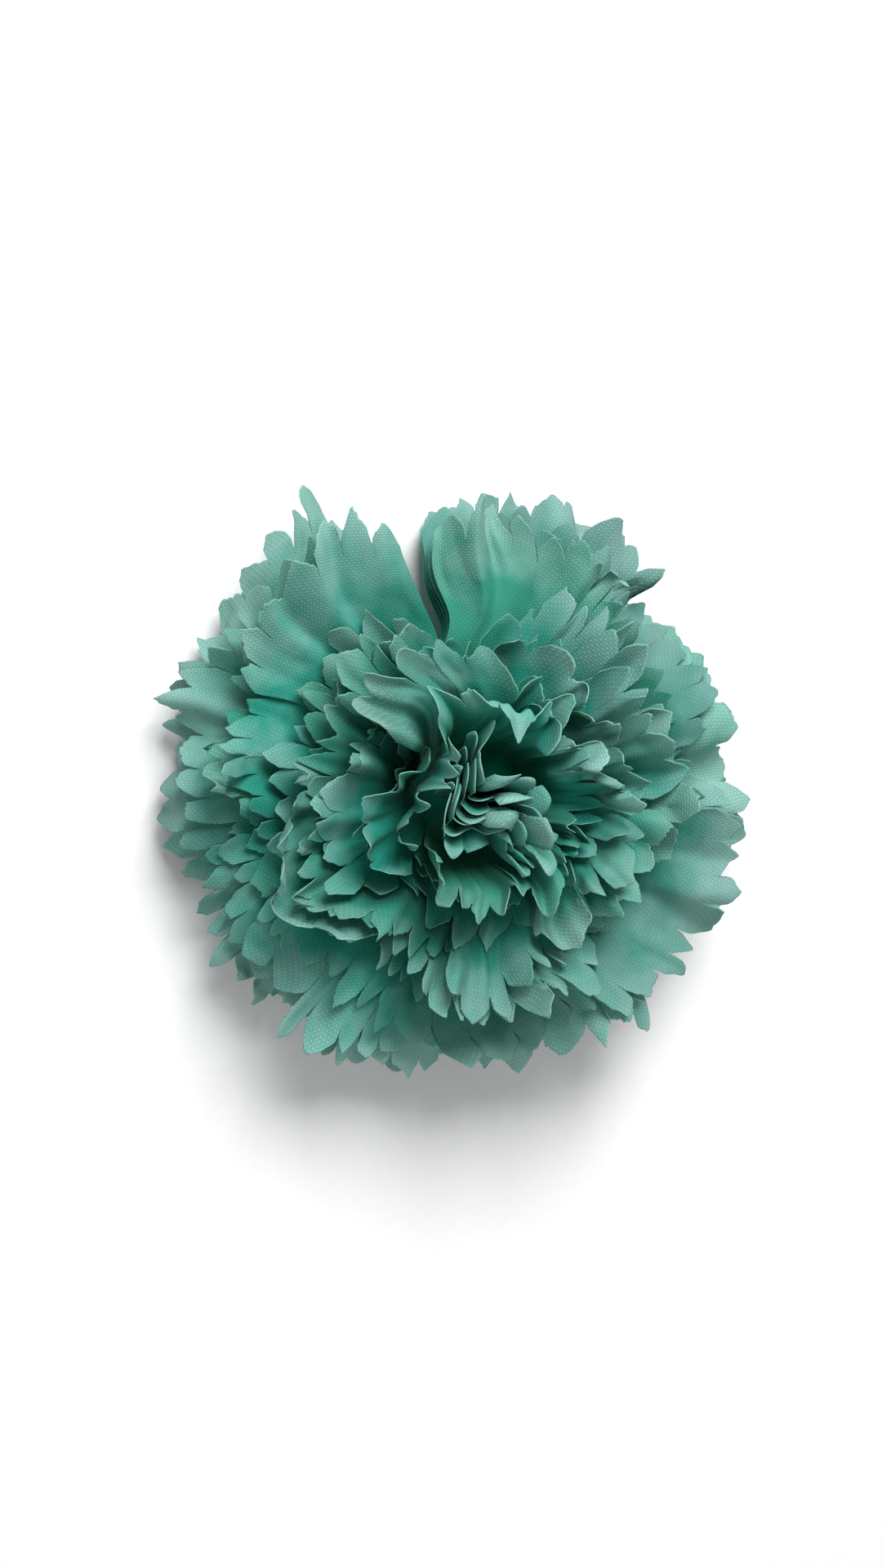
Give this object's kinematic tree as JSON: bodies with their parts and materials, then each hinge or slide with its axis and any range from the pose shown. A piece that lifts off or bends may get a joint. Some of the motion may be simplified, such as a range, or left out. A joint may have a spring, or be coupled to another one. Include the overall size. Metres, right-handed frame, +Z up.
{
  "type": "artificial carnation head",
  "caption": "Round artificial carnation head: stacked, ruffled fabric petal tiers with pinked rims on a moulded post in a green calyx; stands face up on its foot.",
  "frame": {"origin": "centre of the calyx's flat foot, on the surface the head stands on", "axes": "+Z up along the centre post, out of the flower's face; +X to the right of the flower as it is looked down on"},
  "size_m": [0.0975, 0.0954, 0.0503],
  "materials": {
    "petal_cloth": "starched plain-woven polyester, sea green, heat-cut pinked edge",
    "calyx_plastic": "moulded polyethylene, leaf green, satin",
    "post_plastic": "moulded polyethylene, darker green, satin"
  },
  "bodies": {
    "root": {"calyx_cup": "calyx_plastic", "centre_post": "post_plastic", "hub_washer": "post_plastic", "post_button": "post_plastic", "petal_tier_01": "petal_cloth", "petal_tier_02": "petal_cloth", "petal_tier_03": "petal_cloth", "petal_tier_04": "petal_cloth", "petal_tier_05": "petal_cloth", "petal_tier_06": "petal_cloth", "petal_tier_07": "petal_cloth", "petal_tier_08": "petal_cloth", "petal_tier_09": "petal_cloth", "petal_tier_10": "petal_cloth", "petal_tier_11": "petal_cloth", "petal_tier_12": "petal_cloth", "petal_tier_13": "petal_cloth", "heart_fold_1": "petal_cloth", "heart_fold_2": "petal_cloth", "heart_fold_3": "petal_cloth", "heart_fold_4": "petal_cloth"}
  },
  "joints": []
}
